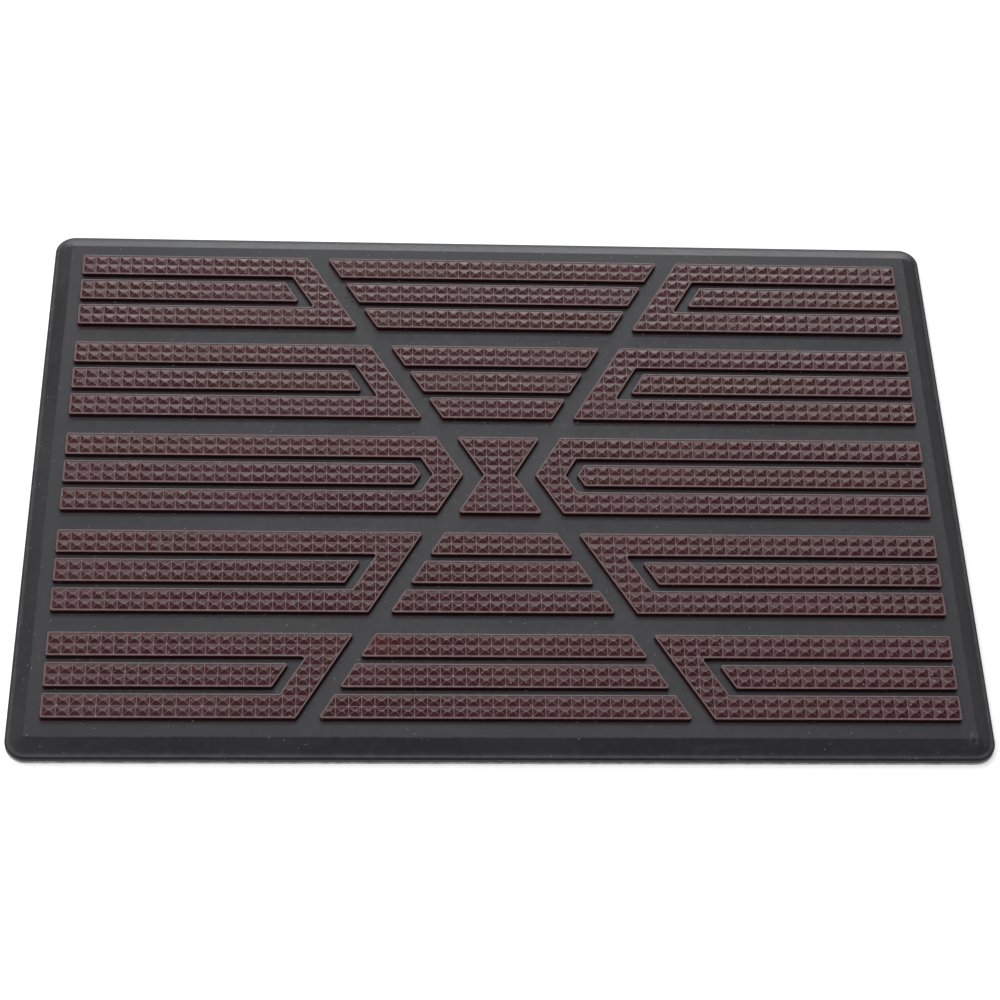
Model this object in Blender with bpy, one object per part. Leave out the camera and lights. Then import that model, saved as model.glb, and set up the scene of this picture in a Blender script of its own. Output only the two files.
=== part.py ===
"""Door mat: a bevelled black rubber base sheet with thirty-three brown rubber treads set in shallow pockets.

Metres, +Z up. The origin is at the middle of the underside, +X runs along the mat's length and +Y towards its back
edge. The five rows of treads are counted from the back edge to the front edge. Each row is three bars high: on
either side a bracket, open towards the end of the mat, wraps round a middle bar, and the middle of the row holds
three tapering bars, or a single waisted tread in row 3. Every sloping edge follows one of four lines at about sixty
degrees, so the sloping channels make a large X across the mat.
"""

import math

import bmesh
import bpy

# Base sheet
LENGTH = 0.600
DEPTH = 0.400
CORNER_RADIUS = 0.0135
EDGE_HEIGHT = 0.0060  # height of the upright wall round the outline
FIELD_HEIGHT = 0.0115  # height of the flat field between the treads
SLOPE_WIDTH = 0.0125  # plan width of the bevel that runs down from the field to the wall

# Treads
RIM_HEIGHT = 0.0150  # top of the narrow flat rim round every tread
TREAD_HEIGHT = 0.0159  # plane through the tips of the moulded points
CELL_X = 0.00793  # pitch of the points along the mat
CELL_Y = 0.00705  # pitch of the points across the mat
RIM = 0.00117
CELLS_TO_END = 35  # points from the middle of the mat to the end of a bar
TREAD_CORNER = 0.0014
FIELD_CORNER = 0.0005
FIELD_ROOT = 0.0010  # overlap that joins the raised middle of a tread to its body

# Layout
ROWS = 5
ROW_PITCH = 0.0737
SLANT = 0.585  # sideways run of a sloping edge for each unit across the mat
WAIST = 0.0099  # half width of the waisted tread at its middle
BRACKET_TIP = 0.0234  # distance from the middle line to a bracket's sloping edge, at the middle of the mat
BRACKET_LEG = 0.0196  # width of a bracket's sloping leg, along the mat
BAR_GAP = 0.0076  # from that leg to the end of the bar inside it, along the mat

# Seating
POCKET_DEPTH = 0.0015
FIT_GAP = 0.0003

BAR = 2 * CELL_Y + 2 * RIM
BAR_PITCH = 3 * CELL_Y
ROW_HEIGHT = 8 * CELL_Y + 2 * RIM
END = CELLS_TO_END * CELL_X + RIM
SLOPE_RISE = FIELD_HEIGHT - EDGE_HEIGHT


def clear_scene():
    for obj in list(bpy.data.objects):
        bpy.data.objects.remove(obj, do_unlink=True)


def new_collection(name):
    collection = bpy.data.collections.new(name)
    bpy.context.scene.collection.children.link(collection)
    return collection


def material(name, colour, roughness):
    made = bpy.data.materials.new(name)
    made.use_nodes = True
    shader = made.node_tree.nodes["Principled BSDF"]
    shader.inputs["Base Color"].default_value = (*colour, 1.0)
    shader.inputs["Roughness"].default_value = roughness
    shader.inputs["Metallic"].default_value = 0.0
    made.diffuse_color = (*colour, 1.0)
    return made


def sloping_line(start, low, high):
    """Points of a sloping edge from y = low to y = high. The edge turns back where it crosses the middle of the mat."""
    levels = [low, 0.0, high] if low < 0.0 < high else [low, high]
    return [(start + SLANT * abs(y), y) for y in levels]


def bracket_outline(low, high):
    outer = sloping_line(BRACKET_TIP, low, high)
    inner = sloping_line(BRACKET_TIP + BRACKET_LEG, low + BAR, high - BAR)
    return [
        (END, high),
        *reversed(outer),
        (END, low),
        (END, low + BAR),
        *inner,
        (END, high - BAR),
    ]


def bar_outline(low, high):
    inner = sloping_line(BRACKET_TIP + BRACKET_LEG + BAR_GAP, low, high)
    return [(END, high), *reversed(inner), (END, low)]


def centre_outline(low, high):
    right = sloping_line(WAIST, low, high)
    return right + [(-x, y) for x, y in reversed(right)]


def mirrored(outline):
    return [(-x, y) for x, y in reversed(outline)]


def offset(outline, distance):
    """The outline, counter-clockwise, with every edge moved outwards by distance."""
    moved = []
    for i, (x, y) in enumerate(outline):
        ax, ay = outline[i - 1]
        bx, by = outline[(i + 1) % len(outline)]
        ux, uy = x - ax, y - ay
        vx, vy = bx - x, by - y
        u, v = math.hypot(ux, uy), math.hypot(vx, vy)
        n1 = (uy / u, -ux / u)
        n2 = (vy / v, -vx / v)
        scale = distance / (1.0 + n1[0] * n2[0] + n1[1] * n2[1])
        moved.append((x + (n1[0] + n2[0]) * scale, y + (n1[1] + n2[1]) * scale))
    return moved


def rounded(outline, radius, steps=3):
    """The outline with an arc at each corner."""
    points = []
    for i, (x, y) in enumerate(outline):
        ax, ay = outline[i - 1]
        bx, by = outline[(i + 1) % len(outline)]
        u, v = math.hypot(ax - x, ay - y), math.hypot(bx - x, by - y)
        ux, uy, vx, vy = (ax - x) / u, (ay - y) / u, (bx - x) / v, (by - y) / v
        half = math.acos(max(-1.0, min(1.0, ux * vx + uy * vy))) / 2
        back = radius / math.tan(half)
        mx, my = ux + vx, uy + vy
        m = math.hypot(mx, my)
        cx, cy = x + mx / m * radius / math.sin(half), y + my / m * radius / math.sin(half)
        first = math.atan2(y + uy * back - cy, x + ux * back - cx)
        last = math.atan2(y + vy * back - cy, x + vx * back - cx)
        turn = (last - first + math.pi) % (2 * math.pi) - math.pi
        for step in range(steps + 1):
            angle = first + turn * step / steps
            points.append((cx + radius * math.cos(angle), cy + radius * math.sin(angle)))
    return points


def counter_clockwise(outline):
    area = sum(
        outline[i - 1][0] * y - x * outline[i - 1][1] for i, (x, y) in enumerate(outline)
    )
    return outline if area > 0 else list(reversed(outline))


def plate(name, outline, bottom, top, collection):
    """A flat plate with this outline, made from a filled 2D curve and turned into a mesh."""
    middle_x = (min(x for x, _ in outline) + max(x for x, _ in outline)) / 2
    middle_y = (min(y for _, y in outline) + max(y for _, y in outline)) / 2
    curve = bpy.data.curves.new(name + "_outline", "CURVE")
    curve.dimensions = "2D"
    curve.fill_mode = "BOTH"
    curve.extrude = (top - bottom) / 2
    spline = curve.splines.new("POLY")
    spline.points.add(len(outline) - 1)
    for point, (x, y) in zip(spline.points, outline):
        point.co = (x - middle_x, y - middle_y, 0.0, 1.0)
    spline.use_cyclic_u = True
    guide = bpy.data.objects.new(name + "_outline", curve)
    guide.location = (middle_x, middle_y, (top + bottom) / 2)
    collection.objects.link(guide)
    bpy.context.view_layer.update()
    graph = bpy.context.evaluated_depsgraph_get()
    mesh = bpy.data.meshes.new_from_object(guide.evaluated_get(graph))
    mesh.name = name
    shape = bmesh.new()
    shape.from_mesh(mesh)
    bmesh.ops.remove_doubles(shape, verts=shape.verts, dist=1e-6)
    bmesh.ops.dissolve_limit(
        shape, angle_limit=math.radians(0.5), verts=shape.verts, edges=shape.edges
    )
    bmesh.ops.recalc_face_normals(shape, faces=shape.faces)
    shape.to_mesh(mesh)
    shape.free()
    plate_object = bpy.data.objects.new(name, mesh)
    plate_object.matrix_world = guide.matrix_world.copy()
    collection.objects.link(plate_object)
    bpy.data.objects.remove(guide, do_unlink=True)
    return plate_object


def raise_field(tread, outline, helpers):
    """Joins a smaller plate to the top of a tread, up to the plane of the points, and so leaves a flat rim."""
    field = plate(
        tread.name + "_field",
        rounded(offset(outline, -RIM), FIELD_CORNER),
        RIM_HEIGHT - FIELD_ROOT,
        TREAD_HEIGHT,
        helpers,
    )
    hide(field)
    join = tread.modifiers.new("field", "BOOLEAN")
    join.operation = "UNION"
    join.object = field
    join.solver = "EXACT"


def hide(helper):
    helper.hide_render = True
    helper.display_type = "WIRE"


def base_blank(name, collection):
    """The base sheet before its pockets: a block with round corners, whose top is drawn in and up to the field."""
    bpy.ops.mesh.primitive_cube_add(size=1.0, location=(0.0, 0.0, 0.0))
    base = bpy.context.active_object
    base.name = name
    base.data.name = name
    for owner in list(base.users_collection):
        owner.objects.unlink(base)
    collection.objects.link(base)
    shape = bmesh.new()
    shape.from_mesh(base.data)
    bmesh.ops.scale(shape, vec=(LENGTH, DEPTH, EDGE_HEIGHT), verts=shape.verts)
    bmesh.ops.translate(shape, vec=(0.0, 0.0, EDGE_HEIGHT / 2), verts=shape.verts)
    upright = [e for e in shape.edges if abs(e.verts[0].co.z - e.verts[1].co.z) > EDGE_HEIGHT / 2]
    bmesh.ops.bevel(
        shape, geom=upright, offset=CORNER_RADIUS, offset_type="OFFSET", segments=8, profile=0.5,
        affect="EDGES",
    )
    shape.normal_update()
    top = [f for f in shape.faces if f.normal.z > 0.9]
    bmesh.ops.inset_region(
        shape, faces=top, thickness=SLOPE_WIDTH, depth=SLOPE_RISE, use_even_offset=True
    )
    shape.normal_update()
    shape.to_mesh(base.data)
    shape.free()
    return base


def tread_outlines():
    """Every tread's name and outline, row by row from the back edge."""
    for index in range(ROWS):
        middle = (ROWS // 2 - index) * ROW_PITCH
        low, high = middle - ROW_HEIGHT / 2, middle + ROW_HEIGHT / 2
        row = f"row{index + 1}"
        bracket = bracket_outline(low, high)
        bar = bar_outline(middle - BAR / 2, middle + BAR / 2)
        yield f"{row}_left_bracket_tread", mirrored(bracket)
        yield f"{row}_left_bar_tread", mirrored(bar)
        if index == ROWS // 2:
            yield f"{row}_waisted_tread", centre_outline(low, high)
        else:
            for place, shift in (("back", 1), ("middle", 0), ("front", -1)):
                y = middle + shift * BAR_PITCH
                yield f"{row}_centre_{place}_tread", centre_outline(y - BAR / 2, y + BAR / 2)
        yield f"{row}_right_bar_tread", bar
        yield f"{row}_right_bracket_tread", bracket


def main():
    clear_scene()
    parts = new_collection("door_mat")
    cutters = new_collection("door_mat_pockets")
    helpers = new_collection("door_mat_tread_fields")
    black = material("black_rubber", (0.055, 0.055, 0.060), 0.55)
    brown = material("brown_rubber", (0.105, 0.052, 0.057), 0.50)

    frame = bpy.data.objects.new("door_mat_frame", None)
    parts.objects.link(frame)

    base = base_blank("base_sheet", parts)
    base.data.materials.append(black)
    base.parent = frame

    floor = FIELD_HEIGHT - POCKET_DEPTH
    for name, outline in tread_outlines():
        outline = counter_clockwise(outline)
        tread = plate(
            name, rounded(outline, TREAD_CORNER), floor + FIT_GAP, RIM_HEIGHT, parts
        )
        raise_field(tread, outline, helpers)
        tread.data.materials.append(brown)
        tread.parent = frame
        cutter = plate(
            name + "_pocket",
            rounded(offset(outline, FIT_GAP), TREAD_CORNER + FIT_GAP),
            floor,
            RIM_HEIGHT,
            cutters,
        )
        hide(cutter)

    cut = base.modifiers.new("pockets", "BOOLEAN")
    cut.operation = "DIFFERENCE"
    cut.operand_type = "COLLECTION"
    cut.collection = cutters
    cut.solver = "EXACT"
    bpy.context.view_layer.update()


main()
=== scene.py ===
"""The looks of the door mat: a moulded black rubber base sheet with brown rubber treads, on a pale studio floor.

Shapes are worked out in millimetres and made in metres. The mat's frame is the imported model's: the origin is at the
middle of the underside, +X runs along the mat and +Y towards its back edge. The base sheet and every tread are built
as one closed fine mesh each, which stands for its plain CAD solid.
"""

import math

import bpy
import numpy as np
from mathutils import Matrix, Vector, noise
from mathutils.geometry import delaunay_2d_cdt


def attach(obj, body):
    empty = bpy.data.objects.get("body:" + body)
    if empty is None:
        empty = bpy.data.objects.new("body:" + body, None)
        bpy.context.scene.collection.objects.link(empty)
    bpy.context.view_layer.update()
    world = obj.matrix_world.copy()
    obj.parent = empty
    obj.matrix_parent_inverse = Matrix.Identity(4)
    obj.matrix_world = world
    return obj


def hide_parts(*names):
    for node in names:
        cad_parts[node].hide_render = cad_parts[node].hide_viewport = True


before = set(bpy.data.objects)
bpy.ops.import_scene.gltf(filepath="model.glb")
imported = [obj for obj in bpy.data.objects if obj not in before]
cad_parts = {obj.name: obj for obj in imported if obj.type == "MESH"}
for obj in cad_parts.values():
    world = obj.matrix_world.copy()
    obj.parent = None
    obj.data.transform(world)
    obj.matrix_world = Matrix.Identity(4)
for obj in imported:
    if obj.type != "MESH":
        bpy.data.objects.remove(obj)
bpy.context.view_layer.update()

# ---------------------------------------------------------------- dimensions, in millimetres
LENGTH, DEPTH = 600.0, 400.0
CORNER_RADIUS = 13.5
EDGE_HEIGHT = 6.0
FIELD = 11.5
SLOPE_WIDTH = 12.5
RIM_TOP = 15.0
TIP = 15.87
CELL_X, CELL_Y = 7.93, 7.05
RIM = 1.17
CELLS_TO_END = 35
ROWS, ROW_PITCH = 5, 73.7
SLANT = 0.585
WAIST = 9.9
BRACKET_TIP = 23.4
BRACKET_LEG = 19.6
BAR_GAP = 7.6
POCKET_DEPTH = 1.5
FIT_GAP = 0.3
BAR = 2 * CELL_Y + 2 * RIM
BAR_PITCH = 3 * CELL_Y
ROW_HEIGHT = 8 * CELL_Y + 2 * RIM
END = CELLS_TO_END * CELL_X + RIM

TREAD_CORNER = 1.4
BEND_START, BEND_END = 2.2, 4.6  # the bevel is hollow: level by the wall, then bending up to its full slope
VALLEY = 14.84  # level of the grooves between the moulded points
RELIEF = TIP - VALLEY
SKIRT = 0.42  # mean reach of the thin brown film round the foot of a tread
LIP_OUT, LIP_IN, LIP_RISE = 1.35, 0.72, 0.15  # the low bead of the base round each pocket
MM = 0.001


# ---------------------------------------------------------------- outlines
def sloping_line(start, low, high):
    levels = [low, 0.0, high] if low < 0.0 < high else [low, high]
    return [(start + SLANT * abs(y), y) for y in levels]


def bracket_outline(low, high):
    outer = sloping_line(BRACKET_TIP, low, high)
    inner = sloping_line(BRACKET_TIP + BRACKET_LEG, low + BAR, high - BAR)
    return [(END, high), *reversed(outer), (END, low), (END, low + BAR), *inner, (END, high - BAR)]


def bar_outline(low, high):
    inner = sloping_line(BRACKET_TIP + BRACKET_LEG + BAR_GAP, low, high)
    return [(END, high), *reversed(inner), (END, low)]


def centre_outline(low, high):
    right = sloping_line(WAIST, low, high)
    return right + [(-x, y) for x, y in reversed(right)]


def mirrored(outline):
    return [(-x, y) for x, y in reversed(outline)]


def counter_clockwise(outline):
    area = sum(outline[i - 1][0] * y - x * outline[i - 1][1] for i, (x, y) in enumerate(outline))
    return outline if area > 0 else list(reversed(outline))


def tread_outlines():
    """Each tread's node name, outline and the y of the middle of its row."""
    for index in range(ROWS):
        middle = (ROWS // 2 - index) * ROW_PITCH
        low, high = middle - ROW_HEIGHT / 2, middle + ROW_HEIGHT / 2
        row = f"row{index + 1}"
        bracket = bracket_outline(low, high)
        bar = bar_outline(middle - BAR / 2, middle + BAR / 2)
        yield f"{row}_left_bracket_tread", mirrored(bracket), middle
        yield f"{row}_left_bar_tread", mirrored(bar), middle
        if index == ROWS // 2:
            yield f"{row}_waisted_tread", centre_outline(low, high), middle
        else:
            for place, shift in (("back", 1), ("middle", 0), ("front", -1)):
                y = middle + shift * BAR_PITCH
                yield f"{row}_centre_{place}_tread", centre_outline(y - BAR / 2, y + BAR / 2), middle
        yield f"{row}_right_bar_tread", bar, middle
        yield f"{row}_right_bracket_tread", bracket, middle


def ring(outline, distance, radius, steps=4, spacing=4.0):
    """The outline moved outwards by distance, with round corners and evenly split sides. Every ring of one outline
    has the same number of points, so that rings can be bridged point to point."""
    n = len(outline)
    arcs = []
    for i in range(n):
        x, y = outline[i]
        ax, ay = outline[i - 1]
        bx, by = outline[(i + 1) % n]
        u, v = math.hypot(x - ax, y - ay), math.hypot(bx - x, by - y)
        ux, uy, vx, vy = (x - ax) / u, (y - ay) / u, (bx - x) / v, (by - y) / v
        convex = ux * vy - uy * vx > 0
        r = max(0.3, radius + distance if convex else radius - distance)
        scale = distance / (1.0 + ux * vx + uy * vy)
        px, py = x + (uy + vy) * scale, y - (ux + vx) * scale
        half = math.acos(max(-1.0, min(1.0, -(ux * vx + uy * vy)))) / 2
        back = r / math.tan(half)
        mx, my = vx - ux, vy - uy
        m = math.hypot(mx, my)
        cx, cy = px + mx / m * r / math.sin(half), py + my / m * r / math.sin(half)
        first = math.atan2(py - uy * back - cy, px - ux * back - cx)
        last = math.atan2(py + vy * back - cy, px + vx * back - cx)
        turn = (last - first + math.pi) % (2 * math.pi) - math.pi
        arcs.append(
            [
                (cx + r * math.cos(first + turn * s / steps), cy + r * math.sin(first + turn * s / steps))
                for s in range(steps + 1)
            ]
        )
    points = []
    for i in range(n):
        points.extend(arcs[i])
        x, y = outline[i]
        bx, by = outline[(i + 1) % n]
        pieces = max(1, round((math.hypot(bx - x, by - y) - 2 * radius) / spacing))
        (sx, sy), (ex, ey) = arcs[i][-1], arcs[(i + 1) % n][0]
        points.extend((sx + (ex - sx) * k / pieces, sy + (ey - sy) * k / pieces) for k in range(1, pieces))
    return np.array(points)


# ---------------------------------------------------------------- plane geometry
def inside(points, polygon):
    """Which points lie in the polygon."""
    points, polygon = np.asarray(points, float), np.asarray(polygon, float)
    x, y = points[:, 0][:, None], points[:, 1][:, None]
    x0, y0 = polygon[:, 0][None], polygon[:, 1][None]
    x1, y1 = np.roll(polygon[:, 0], -1)[None], np.roll(polygon[:, 1], -1)[None]
    with np.errstate(divide="ignore", invalid="ignore"):
        crosses = ((y0 > y) != (y1 > y)) & (x < (x1 - x0) * (y - y0) / (y1 - y0) + x0)
    return crosses.sum(1) % 2 == 1


def clipped(starts, ends, polygon):
    """The stretches of the segments that lie in the polygon, as pairs of points."""
    a, d = starts, ends - starts
    p = polygon
    e = np.roll(polygon, -1, 0) - polygon
    cross = d[:, None, 0] * e[None, :, 1] - d[:, None, 1] * e[None, :, 0]
    w = p[None] - a[:, None]
    with np.errstate(divide="ignore", invalid="ignore"):
        t = (w[..., 0] * e[None, :, 1] - w[..., 1] * e[None, :, 0]) / cross
        s = (w[..., 0] * d[:, None, 1] - w[..., 1] * d[:, None, 0]) / cross
    met = (np.abs(cross) > 1e-9) & (t > 1e-6) & (t < 1 - 1e-6) & (s >= 0) & (s <= 1)
    out, middles, spans = [], [], []
    for i in range(len(a)):
        cuts = np.unique(np.concatenate([[0.0, 1.0], t[i][met[i]]]))
        for k in range(len(cuts) - 1):
            if cuts[k + 1] - cuts[k] > 1e-4:
                spans.append((a[i] + d[i] * cuts[k], a[i] + d[i] * cuts[k + 1]))
                middles.append(a[i] + d[i] * (cuts[k] + cuts[k + 1]) / 2)
    if not spans:
        return out
    keep = inside(middles, polygon)
    return [span for span, k in zip(spans, keep) if k]


class Plan:
    """Points and edges in plan, with near points merged, for a constrained triangulation."""

    def __init__(self, centre):
        self.centre = np.array(centre, float)
        self.points, self.edges, self.at = [], set(), {}

    def point(self, p):
        key = (round(float(p[0]) * 2000), round(float(p[1]) * 2000))
        for dx in (0, -1, 1):
            for dy in (0, -1, 1):
                found = self.at.get((key[0] + dx, key[1] + dy))
                if found is not None:
                    return found
        self.at[key] = len(self.points)
        self.points.append((float(p[0]), float(p[1])))
        return len(self.points) - 1

    def edge(self, p, q):
        i, j = self.point(p), self.point(q)
        if i != j:
            self.edges.add((min(i, j), max(i, j)))

    def loop(self, polygon):
        ids = [self.point(p) for p in polygon]
        for i, j in zip(ids, ids[1:] + ids[:1]):
            if i != j:
                self.edges.add((min(i, j), max(i, j)))
        return ids

    def triangles(self):
        flat = [Vector((x - self.centre[0], y - self.centre[1])) for x, y in self.points]
        verts, _, faces, origin, _, _ = delaunay_2d_cdt(flat, sorted(self.edges), [], 0, 1e-4, True)
        points = np.array([(v.x, v.y) for v in verts]) + self.centre
        for new, old in enumerate(origin):
            if old:
                points[new] = self.points[old[0]]
        return points, np.array([list(f) for f in faces if len(f) == 3], int), origin


# ---------------------------------------------------------------- relief of the moulded points
RIDGE, ROUND_TIP, GROOVE = 0.13, 0.13, 0.12  # how much of a half cell each rounding takes
BOW = 0.40  # the ridges bow into two arcs that touch at the tip: the smaller, the nearer to plain diagonals
BOW_SPAN = math.sqrt(1.0 + BOW * BOW) - BOW


def bowed(u):
    return (np.sqrt(u * u + BOW * BOW) - BOW) / BOW_SPAN


def unbowed(a):
    return np.sign(a) * np.sqrt((np.abs(a) * BOW_SPAN + BOW) ** 2 - BOW * BOW)


def relief(x, y, middle):
    """Height of the tread's surface over its grooves, and how near a ridge or groove it is. Each cell is a four-sided
    point with a rounded tip, bowed and rounded ridges and a filleted groove round it."""
    u = bowed(np.abs(2.0 * ((x / CELL_X) % 1.0) - 1.0))
    v = np.abs(2.0 * (((y - middle) / CELL_Y) % 1.0) - 1.0)
    blend = np.maximum(RIDGE - np.abs(u - v), 0.0)
    r = np.maximum(u, v) + blend * blend / (4 * RIDGE)
    r = np.where(r < ROUND_TIP, (r * r + ROUND_TIP**2) / (2 * ROUND_TIP), r)
    f = np.maximum(1.0 - r, 0.0)
    f = np.where(f < GROOVE, f * f / (2 * GROOVE) + GROOVE / 2, f)
    top = 1.0 - ROUND_TIP / 2
    height = RELIEF * (f - GROOVE / 2) / (top - GROOVE / 2)
    # No two points are quite as full or as worn as each other.
    draw = np.sin(np.floor(x / CELL_X) * 12.9898 + np.floor((y - middle) / CELL_Y) * 78.233 + middle) * 43758.5453
    worn = 0.5 + 0.5 * np.sin(x / 19.0 + 0.7 * np.sin(y / 23.0)) * np.sin(y / 13.0 + 1.3 * np.sin(x / 31.0))
    height = height * (1.0 - 0.16 * (draw - np.floor(draw)) - 0.16 * worn * worn)
    # Ridges and grooves are drawn pale, partly wear and partly painted highlight: ridges and the grooves that run from
    # front to back palest, the grooves along the tread least, and ridges on the front half of each cell less pale than
    # on the back half, a painted highlight of light from behind.
    front = ((y - middle) / CELL_Y) % 1.0 < 0.5
    line = np.maximum(1.0 - np.abs(u - v) / RIDGE, 0.0) * np.where(front, 0.82, 1.0)
    line = np.maximum(line, 0.90 * np.maximum(1.0 - (1.0 - u) / GROOVE, 0.0))
    line = np.maximum(line, 0.35 * np.maximum(1.0 - (1.0 - v) / GROOVE, 0.0))
    return height, line


def relief_normals(x, y, middle):
    e = 0.004
    gx = (relief(x + e, y, middle)[0] - relief(x - e, y, middle)[0]) / (2 * e)
    gy = (relief(x, y + e, middle)[0] - relief(x, y - e, middle)[0]) / (2 * e)
    n = np.stack([-gx, -gy, np.ones_like(gx)], 1)
    return n / np.linalg.norm(n, axis=1)[:, None]


def cell_template():
    """Edges of one cell in plan, from -1 to 1 both ways, laid along its ridges, its tip and its groove."""
    edges = []
    k, t, g = RIDGE, ROUND_TIP, 1 - GROOVE
    corners = [(1, 1), (-1, 1), (-1, -1), (1, -1)]
    levels = (t, 0.38, 0.64, g, 1.0)
    for sx, sy in corners:
        edges.append(((0, 0), (t * sx, t * sy)))
        for r0, r1 in zip(levels, levels[1:]):
            edges += [
                ((r0 * sx, r0 * sy), (r1 * sx, r1 * sy)),
                ((r0 * sx, (r0 - k) * sy), (r1 * sx, (r1 - k) * sy)),
                (((r0 - k) * sx, r0 * sy), ((r1 - k) * sx, r1 * sy)),
            ]
    for r in levels:
        side = [-r, -(r - k), r - k, r]
        for a, b in zip(side, side[1:]):
            if abs(a - b) > 1e-6:
                edges += [((a, r), (b, r)), ((a, -r), (b, -r)), ((r, a), (r, b)), ((-r, a), (-r, b))]
    edges += [((0, 0), (t, 0)), ((0, 0), (-t, 0)), ((0, 0), (0, t)), ((0, 0), (0, -t))]
    edges = np.array(edges, float)
    edges[..., 0] = unbowed(edges[..., 0])
    return edges


TEMPLATE = cell_template()


# ---------------------------------------------------------------- meshes
class Solid:
    """Collects points and faces of one closed mesh, with a value for each point: above zero it pales the colour for
    wear and painted highlight, below zero it darkens it for painted shade.
    """

    def __init__(self):
        self.points, self.faces, self.wear_and_painted_light = [], [], []

    def add(self, xy, z, wear_and_painted_light=0.0):
        z = np.broadcast_to(np.asarray(z, float), (len(xy),))
        wear_and_painted_light = np.broadcast_to(np.asarray(wear_and_painted_light, float), (len(xy),))
        first = len(self.points)
        self.points.extend((float(p[0]), float(p[1]), float(h)) for p, h in zip(xy, z))
        self.wear_and_painted_light.extend(float(w) for w in wear_and_painted_light)
        return np.arange(first, first + len(xy))

    def bridge(self, low, high):
        """Quads between two rings that run counter-clockwise, with the faces out when high lies over low."""
        n = len(low)
        for i in range(n):
            j = (i + 1) % n
            self.faces.append((int(low[i]), int(low[j]), int(high[j]), int(high[i])))

    def make(self, name, material, body="root"):
        mesh = bpy.data.meshes.new(name)
        mesh.from_pydata([(x * MM, y * MM, z * MM) for x, y, z in self.points], [], self.faces)
        mesh.validate()
        attribute = mesh.attributes.new("wear_and_painted_light", "FLOAT", "POINT")
        attribute.data.foreach_set("value", np.array(self.wear_and_painted_light, np.float32))
        mesh.materials.append(material)
        mesh.shade_smooth()
        obj = bpy.data.objects.new(name, mesh)
        bpy.context.scene.collection.objects.link(obj)
        return obj


def value_noise(x, y, scale, seed):
    return noise.noise(Vector((x / scale, y / scale, seed * 7.31)))


# Bits of stray rubber beside the treads: x, y, reach and height, in millimetres.
BROWN_BITS = [(-254.0, -137.0, 1.6, 0.35), (-256.0, -157.5, 1.1, 0.25), (-279.5, -178.5, 1.3, 0.30)]
BLACK_BITS = [(-99.5, 146.0, 1.5, 0.55), (-96.5, 142.0, 1.2, 0.45), (284.0, 169.0, 1.2, 0.40)]


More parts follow.
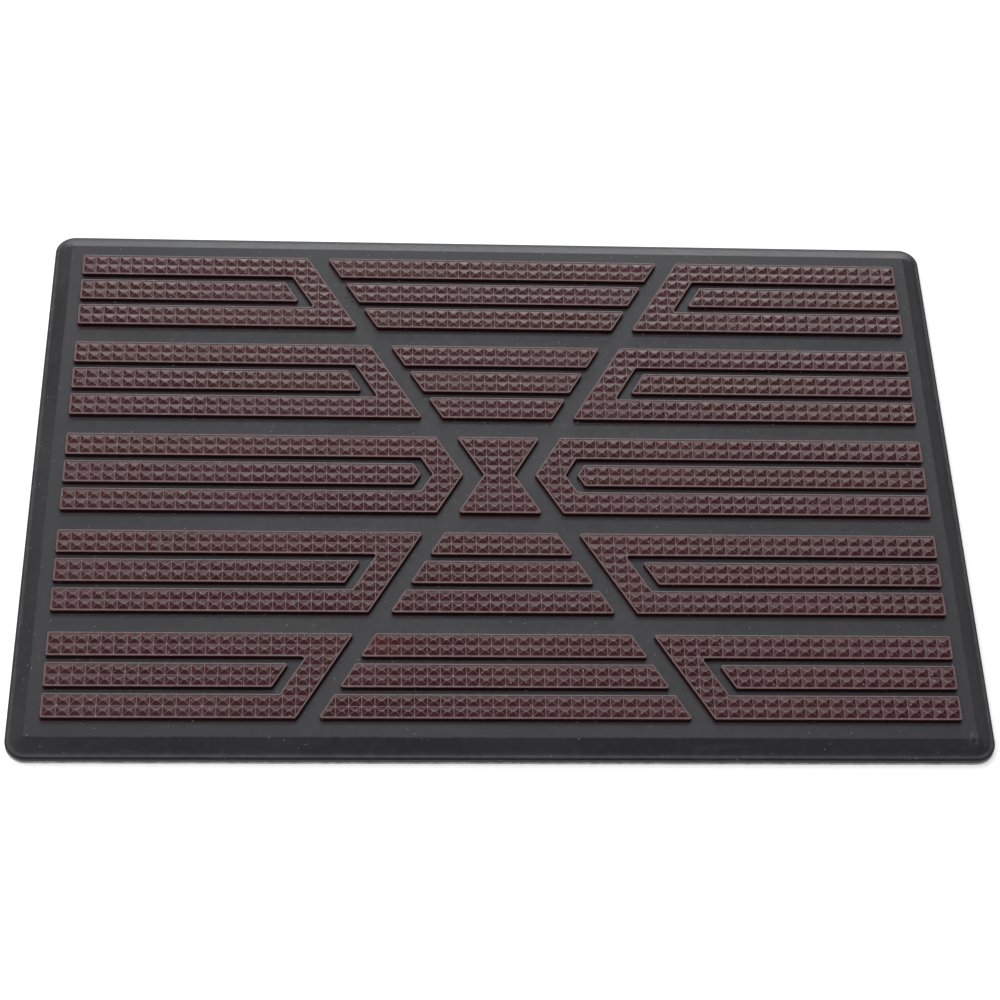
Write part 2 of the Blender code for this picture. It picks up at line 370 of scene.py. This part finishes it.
def make_tread(name, outline, middle, material, number):
    outline = counter_clockwise(outline)
    solid = Solid()

    def at(distance):
        return ring(outline, distance, TREAD_CORNER)

    base = at(0.0)
    out = at(1.0) - base
    out /= np.linalg.norm(out, axis=1)[:, None]
    reach = np.array([SKIRT + 0.16 * value_noise(x, y, 9.0, number) + 0.10 * value_noise(x, y, 2.5, number) for x, y in base])
    reach = np.clip(reach, 0.32, 0.66)
    lump = np.zeros(len(base))
    for bx, by, size, height in BROWN_BITS:
        near = np.hypot(base[:, 0] - bx, base[:, 1] - by)
        grow = np.exp(-((near / (2.2 * size)) ** 2)) * (near < 9)
        reach = reach + size * grow
        lump = lump + height * grow
    if name == "row3_waisted_tread":  # a wider film of brown rubber along its front edge
        front = (base[:, 1] < base[:, 1].min() + 1.0) * (1.0 + 0.35 * np.sin(base[:, 0] * 0.9))
        reach, lump = reach + 0.75 * front, lump + 0.17 * front

    levels = [
        solid.add(at(-0.02), FIELD - POCKET_DEPTH + FIT_GAP),
        solid.add(at(-0.02), FIELD - 0.05),
        # The brown film round the foot and the wall are darkened: painted shade.
        solid.add(base + out * reach[:, None], FIELD - 0.03, -0.4),
        solid.add(base + out * (reach - 0.04)[:, None], FIELD + 0.06 + lump * 0.8, -0.3),
        solid.add(base + out * (0.45 * reach)[:, None], FIELD + 0.11 + lump, -0.3),
        solid.add(at(0.06), FIELD + 0.24 + lump * 0.7, -0.8),
        solid.add(at(0.0), FIELD + 0.55, -1.0),
        solid.add(at(-0.03), 13.3, -0.9),
        solid.add(at(-0.05), RIM_TOP - 0.26, -0.2),
        # The rim's rounded edge and the strip inside it are paled: painted highlight.
        solid.add(at(-0.09), RIM_TOP - 0.12, 0.6),
        solid.add(at(-0.18), RIM_TOP - 0.035, 1.0),
        solid.add(at(-0.31), RIM_TOP, 1.0),
        solid.add(at(-0.55), RIM_TOP, 0.5),
        solid.add(at(-1.06), RIM_TOP, 0.3),
    ]
    for low, high in zip(levels, levels[1:]):
        solid.bridge(low, high)
    solid.faces.append(tuple(int(i) for i in reversed(levels[0])))

    # The patterned top: the inner rim edge, a short step and the points, triangulated along their ridges.
    inner_rim, border = at(-RIM), at(-RIM - 0.10)
    plan = Plan(base.mean(0))
    rim_ids = plan.loop(inner_rim)
    plan.loop(border)
    low, high = base.min(0), base.max(0)
    kx = np.arange(math.floor(low[0] / CELL_X), math.ceil(high[0] / CELL_X))
    ky = np.arange(math.floor((low[1] - middle) / CELL_Y), math.ceil((high[1] - middle) / CELL_Y))
    cx, cy = np.meshgrid((kx + 0.5) * CELL_X, (ky + 0.5) * CELL_Y + middle)
    half = np.array([CELL_X / 2, CELL_Y / 2])
    for centre in np.stack([cx.ravel(), cy.ravel()], 1):
        edges = TEMPLATE * half + centre
        reached = inside(edges.reshape(-1, 2), border)
        if not reached.any():
            continue
        if reached.all():
            for p, q in edges:
                plan.edge(p, q)
        else:
            for p, q in clipped(edges[:, 0], edges[:, 1], border):
                plan.edge(p, q)
    points, triangles, _ = plan.triangles()
    middles = points[triangles].mean(1)
    triangles = triangles[inside(middles, inner_rim)]
    a, b, c = points[triangles[:, 0]], points[triangles[:, 1]], points[triangles[:, 2]]
    area = (b[:, 0] - a[:, 0]) * (c[:, 1] - a[:, 1]) - (b[:, 1] - a[:, 1]) * (c[:, 0] - a[:, 0])
    triangles = np.where((area < -1e-3)[:, None], triangles[:, ::-1], triangles)
    height, line = relief(points[:, 0], points[:, 1], middle)
    on_rim = np.zeros(len(points), bool)
    key = {(round(x * 1000), round(y * 1000)) for x, y in inner_rim}
    for i, (x, y) in enumerate(points):
        on_rim[i] = (round(x * 1000), round(y * 1000)) in key
    z = np.where(on_rim, RIM_TOP - 0.03, VALLEY + height)
    used = np.unique(triangles)
    where = np.full(len(points), -1)
    # The rim's inner edge is paled a little, painted highlight, and the points carry their pale ridge and groove lines.
    where[used] = solid.add(points[used], z[used], np.where(on_rim, 0.2, line)[used])
    first_top = len(solid.faces) + len(levels[-1])
    # The rim's inner edge joins the ring outside it.
    lookup = {(round(points[i][0] * 1000), round(points[i][1] * 1000)): int(where[i]) for i in used if on_rim[i]}
    inner = [lookup[(round(x * 1000), round(y * 1000))] for x, y in inner_rim]
    solid.bridge(levels[-1], inner)
    for t in triangles:
        solid.faces.append(tuple(int(where[i]) for i in t))

    obj = solid.make(name.replace("_tread", "_moulded_tread"), material)
    mesh = obj.data
    mesh.set_sharp_from_angle(angle=math.radians(38))
    # The points keep flat sides and softly rounded ridges, so their shading follows the relief itself.
    normals = np.zeros((len(mesh.loops), 3))
    corner = np.zeros(len(mesh.loops), np.int32)
    mesh.loops.foreach_get("vertex_index", corner)
    field = relief_normals(points[:, 0], points[:, 1], middle)
    back = np.full(len(solid.points), -1)
    back[where[used]] = used
    for polygon in mesh.polygons[first_top:]:
        ids = [back[corner[k]] for k in polygon.loop_indices]
        if any(on_rim[i] for i in ids):
            continue
        for k, i in zip(polygon.loop_indices, ids):
            normals[k] = field[i]
    mesh.normals_split_custom_set([tuple(n) for n in normals])
    return obj


def mat_ring(distance, steps=14, spacing=5.0):
    """The mat's outline moved inwards by distance."""
    hx, hy = LENGTH / 2, DEPTH / 2
    box = [(hx, hy), (-hx, hy), (-hx, -hy), (hx, -hy)]
    return ring(box, -distance, CORNER_RADIUS, steps, spacing)


def trimmed(points, amount):
    """The outline as trimmed by hand: a slow wander and one small step on the left edge near the back."""
    moved = points.copy()
    for i, (x, y) in enumerate(points):
        wander = 0.10 * value_noise(x, y, 40.0, 3) + 0.05 * value_noise(x, y, 9.0, 4)
        step = 0.0
        if x < -LENGTH / 2 + 3 and y > 0:
            step = -0.8 / (1 + math.exp(-(y - 161.0) / 0.8))
        length = math.hypot(x, y)
        nx = math.copysign(1.0, x) if abs(x) > LENGTH / 2 - 3 else 0.0
        ny = math.copysign(1.0, y) if abs(y) > DEPTH / 2 - 3 else 0.0
        if nx == 0.0 and ny == 0.0:
            nx, ny = x / length, y / length
        m = math.hypot(nx, ny)
        moved[i] = (x + nx / m * (wander + step - 0.1) * amount, y + ny / m * (wander + step - 0.1) * amount)
    return moved


def make_base(material, outlines):
    solid = Solid()
    # From the underside: rounded foot, parting flash, wall, rounded shoulder, hollow bevel and soft crease.
    # Each entry is the distance in from the outline, the height, a painted light value (above zero a paler painted
    # reflection or highlight, below zero painted shade) and how far hand trimming moves it.
    profile = [(1.30, 0.0, 0.0, 0.0)]
    # The rounded foot is paled: a painted reflection of the floor.
    for s in range(4):
        a = math.radians(90 * s / 3)
        profile.append((0.45 * (1 - math.sin(a)) + 0.10, 0.45 * (1 - math.cos(a)), 1.0, 1.0))
    # The parting flash and the lower wall are paled as well: a painted reflection of the floor.
    profile += [(0.02, 0.62, 1.0, 1.0), (0.04, 1.70, 1.0, 1.0), (0.16, 2.00, 1.0, 1.0), (0.44, 2.14, 0.8, 0.8)]
    # The upper wall is darkened: painted shade.
    profile += [(0.60, 2.30, 0.0, 0.5), (0.58, 2.9, -0.8, 0.3), (0.50, 3.7, -1.0, 0.2)]

    def bevel_height(d):
        bend = BEND_END - BEND_START
        slope = (FIELD - EDGE_HEIGHT) / (SLOPE_WIDTH - BEND_START - bend / 2)
        if d < BEND_END:
            return EDGE_HEIGHT + slope * max(d - BEND_START, 0.0) ** 2 / (2 * bend)
        return EDGE_HEIGHT + slope * (d - BEND_START - bend / 2)

    def bevel_tilt(d):
        return math.atan((bevel_height(d + 0.01) - bevel_height(d - 0.01)) / 0.02)

    r, landing = 1.6, 1.95
    tilt = bevel_tilt(landing)
    cx, cz = landing + r * math.sin(tilt), bevel_height(landing) - r * math.cos(tilt)
    # The rounded shoulder is darkened with painted shade, easing off towards the landing, where a faint painted
    # highlight begins.
    for s in range(7):
        a = math.pi - (math.pi / 2 - tilt) * s / 6
        x, z = cx + r * math.cos(a), cz + r * math.sin(a)
        profile.append((x, z, [-1.0, -1.0, -0.9, -0.7, -0.3, 0.0, 0.07][s], 0.0))
    # The bevel is faintly paled just past the landing: painted highlight.
    for d, wear_and_painted_light in ((2.5, 0.07), (3.1, 0.05), (3.7, 0.02), (4.4, 0.01), (6.0, 0.0), (8.4, 0.0), (10.8, 0.0)):
        profile.append((d, bevel_height(d), wear_and_painted_light, 0.0))
    r = 2.2
    tilt = bevel_tilt(SLOPE_WIDTH)
    reach = r * math.tan(tilt / 2)
    # The soft crease carries a faint pale line: painted highlight.
    for s in range(5):
        a = tilt * (1 - s / 4)
        x = SLOPE_WIDTH + reach - r * math.sin(a)
        profile.append((x, FIELD - r * (1 - math.cos(a)), [0.0, 0.03, 0.05, 0.03, 0.0][s], 0.0))
    levels = [solid.add(trimmed(mat_ring(d), loose), z, wear_and_painted_light) for d, z, wear_and_painted_light, loose in profile]
    for low, high in zip(levels, levels[1:]):
        solid.bridge(low, high)
    # The underside.
    solid.faces.append(tuple(int(i) for i in reversed(levels[0])))

    # The field, with a low bead round every pocket.
    edge = mat_ring(profile[-1][0])
    plan = Plan((0.0, 0.0))
    plan.loop(edge)
    holes = []
    for name, outline, _ in outlines:
        outline = counter_clockwise(outline)
        rings = []
        for d, z, wear_and_painted_light in (
            (FIT_GAP, FIELD - POCKET_DEPTH, 0.0),
            (FIT_GAP, FIELD - 0.06, 0.0),
            (FIT_GAP + 0.05, FIELD, 0.0),
            (LIP_IN, FIELD, 0.0),
            (LIP_IN + 0.14, FIELD + LIP_RISE * 0.72, 0.05),
            ((LIP_IN + LIP_OUT) / 2, FIELD + LIP_RISE, 0.10),
            (LIP_OUT - 0.14, FIELD + LIP_RISE * 0.72, 0.05),
        ):
            rings.append(solid.add(ring(outline, d, TREAD_CORNER), z, wear_and_painted_light))
        hole = ring(outline, LIP_OUT, TREAD_CORNER)
        plan.loop(hole)
        holes.append((hole, rings))
    for bx, by, size, _ in BLACK_BITS:
        for k in range(1, 5):
            for s in range(6 * k):
                a = 2 * math.pi * s / (6 * k)
                plan.point((bx + size * 1.6 * k / 4 * math.cos(a), by + size * 1.6 * k / 4 * math.sin(a)))
        plan.point((bx, by))
    points, triangles, _ = plan.triangles()
    middles = points[triangles].mean(1)
    keep = inside(middles, edge)
    for hole, _ in holes:
        low, high = hole.min(0), hole.max(0)
        near = keep & (middles > low).all(1) & (middles < high).all(1)
        index = np.flatnonzero(near)
        keep[index[inside(middles[index], hole)]] = False
    triangles = triangles[keep]
    a, b, c = points[triangles[:, 0]], points[triangles[:, 1]], points[triangles[:, 2]]
    area = (b[:, 0] - a[:, 0]) * (c[:, 1] - a[:, 1]) - (b[:, 1] - a[:, 1]) * (c[:, 0] - a[:, 0])
    triangles = np.where((area < 0)[:, None], triangles[:, ::-1], triangles)
    z = np.full(len(points), FIELD)
    wear_and_painted_light = np.zeros(len(points))
    for bx, by, size, height in BLACK_BITS:
        near = np.hypot(points[:, 0] - bx, (points[:, 1] - by) * 1.5)
        z += height * np.exp(-((near / (0.55 * size)) ** 2)) * (near < 1.5 * size)
    rim_key = {(round(x * 1000), round(y * 1000)): int(i) for (x, y), i in zip(edge, levels[-1])}
    used = np.unique(triangles)
    where = np.full(len(points), -1)
    fresh = []
    for i in used:
        found = rim_key.get((round(points[i][0] * 1000), round(points[i][1] * 1000)))
        if found is None:
            fresh.append(i)
        else:
            where[i] = found
    fresh = np.array(fresh)
    where[fresh] = solid.add(points[fresh], z[fresh], wear_and_painted_light[fresh])
    lookup = {(round(points[i][0] * 1000), round(points[i][1] * 1000)): int(where[i]) for i in fresh}
    for hole, rings in holes:
        outer = np.array([lookup[(round(x * 1000), round(y * 1000))] for x, y in hole])
        chain = rings + [outer]
        for inner_ring, outer_ring in zip(chain, chain[1:]):
            solid.bridge(outer_ring, inner_ring)
        solid.faces.append(tuple(int(i) for i in rings[0]))
    for t in triangles:
        solid.faces.append(tuple(int(where[i]) for i in t))
    obj = solid.make("base_sheet_moulded", material)
    mesh = obj.data
    mesh.set_sharp_from_angle(angle=math.radians(50))
    # The field is flat, so it is shaded flat right up to the beads and the crease.
    raised = np.array([p[2] for p in solid.points]) > FIELD + 1e-4
    normals = np.zeros((len(mesh.loops), 3))
    for polygon in mesh.polygons[len(mesh.polygons) - len(triangles) :]:
        if not raised[list(polygon.vertices)].any():
            for k in polygon.loop_indices:
                normals[k] = (0.0, 0.0, 1.0)
    mesh.normals_split_custom_set([tuple(n) for n in normals])
    return obj


# ---------------------------------------------------------------- materials
class Nodes:
    def __init__(self, name):
        self.material = bpy.data.materials.new(name)
        self.material.use_nodes = True
        self.tree = self.material.node_tree
        self.shader = self.tree.nodes["Principled BSDF"]
        self.place = self.new("ShaderNodeTexCoord").outputs["Object"]

    def new(self, kind, **settings):
        node = self.tree.nodes.new(kind)
        for name, value in settings.items():
            setattr(node, name, value)
        return node

    def link(self, source, target):
        self.tree.links.new(source, target)

    def noise(self, scale, detail=2.0, rough=0.5, stretch=None):
        node = self.new("ShaderNodeTexNoise")
        node.inputs["Scale"].default_value = scale
        node.inputs["Detail"].default_value = detail
        node.inputs["Roughness"].default_value = rough
        self.link(self.mapped(stretch) if stretch else self.place, node.inputs["Vector"])
        return node.outputs["Fac"]

    def mapped(self, scale, turn=0.0):
        node = self.new("ShaderNodeMapping")
        node.inputs["Scale"].default_value = scale
        node.inputs["Rotation"].default_value = (0.0, 0.0, turn)
        self.link(self.place, node.inputs["Vector"])
        return node.outputs["Vector"]

    def ramp(self, source, low, high, start=0.0, end=1.0):
        node = self.new("ShaderNodeMapRange", interpolation_type="SMOOTHSTEP", clamp=True)
        node.inputs["From Min"].default_value = low
        node.inputs["From Max"].default_value = high
        node.inputs["To Min"].default_value = start
        node.inputs["To Max"].default_value = end
        self.link(source, node.inputs["Value"])
        return node.outputs["Result"]

    def math(self, how, a, b):
        node = self.new("ShaderNodeMath", operation=how)
        for slot, value in ((0, a), (1, b)):
            if isinstance(value, (int, float)):
                node.inputs[slot].default_value = value
            else:
                self.link(value, node.inputs[slot])
        return node.outputs[0]

    def mix(self, amount, a, b):
        node = self.new("ShaderNodeMix", data_type="RGBA")
        self.link(amount, node.inputs["Factor"])
        for socket, value in ((node.inputs[6], a), (node.inputs[7], b)):
            if isinstance(value, tuple):
                socket.default_value = (*value, 1.0)
            else:
                self.link(value, socket)
        return node.outputs[2]

    def specks(self, scale, size, share, turn=0.0, stretch=(1.0, 1.0, 1.0)):
        """Small dots scattered over the surface: 1 in a dot. share is how many of the cells hold one."""
        node = self.new("ShaderNodeTexVoronoi", voronoi_dimensions="3D", feature="F1")
        node.inputs["Scale"].default_value = scale
        self.link(self.mapped(stretch, turn), node.inputs["Vector"])
        dot = self.ramp(node.outputs["Distance"], size, size * 0.55)
        parts = self.new("ShaderNodeSeparateColor")
        self.link(node.outputs["Color"], parts.inputs["Color"])
        chosen = self.math("LESS_THAN", parts.outputs[0], share)
        return self.math("MULTIPLY", dot, chosen)

    def patch(self, x, y, across, along, core=0.5):
        """1 within an ellipse round a spot, half widths and place in millimetres, fading out from the core share on."""
        node = self.new("ShaderNodeMapping")
        node.inputs["Scale"].default_value = (1 / (across * MM), 1 / (along * MM), 0.0)
        node.inputs["Location"].default_value = (-x / across, -y / along, 0.0)
        self.link(self.place, node.inputs["Vector"])
        far = self.new("ShaderNodeVectorMath", operation="LENGTH")
        self.link(node.outputs["Vector"], far.inputs[0])
        return self.ramp(far.outputs["Value"], 1.0, core)

    def attribute(self, name):
        return self.new("ShaderNodeAttribute", attribute_name=name).outputs["Fac"]

    def bump(self, height, distance, strength=1.0, below=None):
        node = self.new("ShaderNodeBump")
        node.inputs["Strength"].default_value = strength
        node.inputs["Distance"].default_value = distance
        self.link(height, node.inputs["Height"])
        if below is not None:
            self.link(below, node.inputs["Normal"])
        return node.outputs["Normal"]


def black_rubber():
    n = Nodes("black_rubber_moulded")
    patches = n.noise(9.0, 3.0, 0.55)
    mottle = n.noise(180.0, 3.0, 0.6)
    grain = n.noise(1500.0, 2.0, 0.6)
    wear_and_painted_light = n.attribute("wear_and_painted_light")
    colour = n.mix(n.ramp(patches, 0.35, 0.68), (0.0232, 0.0232, 0.0275), (0.0290, 0.0290, 0.0338))
    colour = n.mix(n.math("MULTIPLY", n.ramp(mottle, 0.42, 0.72), 0.45), colour, (0.038, 0.038, 0.042))
    # Above zero the rubber is paled: a painted reflection of the floor along the foot and flash, faint painted
    # highlights at the bevel's landing and crease, and a slightly paler bead round each pocket.
    colour = n.mix(n.math("MULTIPLY", wear_and_painted_light, n.ramp(mottle, 0.25, 0.75, 0.45, 1.0)), colour, (0.480, 0.480, 0.484))
    # Below zero it is darkened towards black: painted shade on the upper wall and shoulder.
    painted_shade = n.ramp(wear_and_painted_light, 0.0, -1.0, 0.0, 0.80)
    colour = n.mix(painted_shade, colour, (0.0050, 0.0050, 0.0058))
    corner = n.math("MULTIPLY", n.patch(288.0, -187.0, 9.0, 6.0, 0.2), n.ramp(n.noise(260.0, 3.0, 0.7, (1.0, 0.35, 1.0)), 0.50, 0.66))
    colour = n.mix(n.math("MULTIPLY", corner, 0.7), colour, (0.150, 0.150, 0.150))
    # Faint scuffs along the mat, then dust.
    scuff = n.ramp(n.noise(60.0, 4.0, 0.7, (0.25, 2.2, 1.0)), 0.60, 0.74)
    colour = n.mix(n.math("MULTIPLY", scuff, 0.30), colour, (0.072, 0.072, 0.074))
    scratch = n.patch(221.0, -38.0, 5.2, 0.42, 0.6)
    colour = n.mix(n.math("MULTIPLY", scratch, 0.8), colour, (0.006, 0.006, 0.006))
    dust = n.math(
        "MAXIMUM", n.specks(230.0, 0.095, 0.45), n.specks(90.0, 0.032, 0.08, 0.7, (1.0, 1.6, 1.0))
    )
    colour = n.mix(n.math("MULTIPLY", dust, 0.75), colour, (0.34, 0.33, 0.31))
    n.link(colour, n.shader.inputs["Base Color"])
    rough = n.ramp(patches, 0.30, 0.72, 0.40, 0.50)
    rough = n.math("ADD", rough, n.ramp(mottle, 0.35, 0.75, -0.03, 0.07))
    rough = n.math("ADD", rough, n.math("MULTIPLY", scuff, 0.08))
    rough = n.math("ADD", rough, n.math("MULTIPLY", dust, 0.25))
    n.link(rough, n.shader.inputs["Roughness"])
    n.shader.inputs["Specular IOR Level"].default_value = 0.36
    normal = n.bump(n.noise(45.0, 2.0, 0.5), 0.0006, 0.30)
    normal = n.bump(mottle, 0.00010, 0.55, normal)
    normal = n.bump(grain, 0.00004, 0.55, normal)
    n.link(normal, n.shader.inputs["Normal"])
    return n.material


def brown_rubber():
    n = Nodes("brown_rubber_moulded")
    patches = n.noise(14.0, 3.0, 0.6)
    mottle = n.noise(260.0, 3.0, 0.6)
    grain = n.noise(1900.0, 2.0, 0.6)
    wear_and_painted_light = n.attribute("wear_and_painted_light")
    colour = n.mix(n.ramp(patches, 0.34, 0.70), (0.0385, 0.0085, 0.0100), (0.0480, 0.0118, 0.0138))
    colour = n.mix(n.math("MULTIPLY", n.ramp(mottle, 0.45, 0.75), 0.5), colour, (0.060, 0.0195, 0.021))
    # Above zero the rubber is paled: a painted highlight along the rim, and pale lines along the ridges and grooves
    # that are partly wear, partly painted highlight.
    colour = n.mix(n.math("MULTIPLY", wear_and_painted_light, n.ramp(mottle, 0.20, 0.70, 0.50, 1.0)), colour, (0.205, 0.128, 0.134))
    # Below zero it is darkened: painted shade on the walls and the film round their foot.
    painted_shade = n.ramp(wear_and_painted_light, 0.0, -1.0, 0.0, 0.85)
    colour = n.mix(painted_shade, colour, (0.0120, 0.0055, 0.0060))
    redder = n.math("MULTIPLY", n.patch(-69.0, -126.0, 26.0, 11.0, 0.3), n.ramp(patches, 0.30, 0.60, 0.4, 1.0))
    colour = n.mix(n.math("MULTIPLY", redder, 0.55), colour, (0.080, 0.0095, 0.0125))
    dust = n.math(
        "MAXIMUM", n.specks(210.0, 0.100, 0.70), n.specks(75.0, 0.032, 0.40, 1.1, (1.0, 1.5, 1.0))
    )
    colour = n.mix(n.math("MULTIPLY", dust, 0.75), colour, (0.42, 0.39, 0.37))
    n.link(colour, n.shader.inputs["Base Color"])
    rough = n.ramp(patches, 0.30, 0.72, 0.27, 0.36)
    rough = n.math("ADD", rough, n.ramp(mottle, 0.35, 0.75, -0.04, 0.08))
    rough = n.math("ADD", rough, n.math("MULTIPLY", dust, 0.25))
    shiny = n.math("MULTIPLY", n.patch(-87.0, -168.5, 25.0, 9.0, 0.4), n.ramp(mottle, 0.40, 0.60))
    rough = n.math("SUBTRACT", rough, n.math("MULTIPLY", shiny, 0.16))
    n.link(rough, n.shader.inputs["Roughness"])
    n.shader.inputs["Specular IOR Level"].default_value = 0.42
    normal = n.bump(mottle, 0.00008, 0.5, None)
    normal = n.bump(grain, 0.00003, 0.5, normal)
    n.link(normal, n.shader.inputs["Normal"])
    return n.material


# ---------------------------------------------------------------- the object
outlines = list(tread_outlines())
black, brown = black_rubber(), brown_rubber()

base = make_base(black, outlines)
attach(base, "root")
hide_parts("base_sheet")

for number, (name, outline, middle) in enumerate(outlines):
    tread = make_tread(name, outline, middle, brown, number)
    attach(tread, "root")
    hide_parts(name)


# ---------------------------------------------------------------- floor, light and camera
def floor_material():
    n = Nodes("pale_floor")
    colour = n.mix(n.noise(3.0, 2.0, 0.5), (0.86, 0.86, 0.86), (0.90, 0.90, 0.90))
    n.link(colour, n.shader.inputs["Base Color"])
    n.shader.inputs["Roughness"].default_value = 0.6
    n.shader.inputs["Specular IOR Level"].default_value = 0.2
    n.shader.inputs["Emission Color"].default_value = (1.0, 1.0, 1.0, 1.0)
    n.shader.inputs["Emission Strength"].default_value = 0.32
    return n.material


def make_floor():
    mesh = bpy.data.meshes.new("floor")
    s = 14.0
    mesh.from_pydata([(-s, -s, 0), (s, -s, 0), (s, s, 0), (-s, s, 0)], [], [(0, 1, 2, 3)])
    mesh.materials.append(floor_material())
    floor = bpy.data.objects.new("floor", mesh)
    floor.location = (0.0, 0.0, -0.0001)
    bpy.context.scene.collection.objects.link(floor)


def soft_box(name, azimuth, elevation, distance, width, height, radiance, shows=True):
    """A rectangular light that faces the mat. Azimuth 0 is behind the mat, 90 to its right. One that does not show
    lights the mat without a reflection in it."""
    a, e = math.radians(azimuth), math.radians(elevation)
    away = Vector((math.sin(a) * math.cos(e), math.cos(a) * math.cos(e), math.sin(e)))
    light = bpy.data.lights.new(name, "AREA")
    light.shape = "RECTANGLE"
    light.size, light.size_y = width, height
    light.energy = radiance * math.pi * width * height
    obj = bpy.data.objects.new(name, light)
    obj.location = away * distance
    obj.rotation_euler = away.to_track_quat("Z", "Y").to_euler()
    obj.visible_glossy = shows
    bpy.context.scene.collection.objects.link(obj)
    return obj


def make_world():
    world = bpy.data.worlds.new("studio")
    world.use_nodes = True
    world.node_tree.nodes["Background"].inputs["Color"].default_value = (1.0, 1.0, 1.0, 1.0)
    world.node_tree.nodes["Background"].inputs["Strength"].default_value = 0.08
    bpy.context.scene.world = world


def make_camera(focal_px, elevation, azimuth, roll, distance, target):
    el, az, ro = (math.radians(v) for v in (elevation, azimuth, roll))
    offset = Vector((math.sin(az) * math.cos(el), -math.cos(az) * math.cos(el), math.sin(el)))
    position = Vector((*target, 0.0)) + offset * distance
    forward = -offset
    right = forward.cross(Vector((0, 0, 1))).normalized()
    up = right.cross(forward)
    r = right * math.cos(ro) + up * math.sin(ro)
    u = -right * math.sin(ro) + up * math.cos(ro)
    data = bpy.data.cameras.new("camera")
    data.sensor_width = 36.0
    data.lens = focal_px / 1000.0 * 36.0
    data.clip_start, data.clip_end = 0.05, 60.0
    camera = bpy.data.objects.new("camera", data)
    camera.matrix_world = Matrix(
        (
            (r.x, u.x, -forward.x, position.x),
            (r.y, u.y, -forward.y, position.y),
            (r.z, u.z, -forward.z, position.z),
            (0.0, 0.0, 0.0, 1.0),
        )
    )
    bpy.context.scene.collection.objects.link(camera)
    bpy.context.scene.camera = camera


make_floor()
make_world()
soft_box("main_softbox", 4.0, 50.0, 4.5, 3.0, 1.8, 2.9)
soft_box("upper_softbox", 4.0, 68.0, 4.5, 3.4, 1.0, 2.0)
soft_box("back_panel", 2.0, 13.0, 4.5, 4.4, 1.6, 4.4)
soft_box("left_softbox", -75.0, 35.0, 4.5, 2.2, 2.2, 0.6)
soft_box("overhead_fill", -108.0, 62.0, 4.5, 5.0, 5.0, 2.3, shows=False)
make_camera(2243.24, 56.777, -6.332, 5.807, 1.454699, (0.001052, -0.009849))

scene = bpy.context.scene
scene.view_settings.view_transform = "Standard"
scene.view_settings.look = "None"
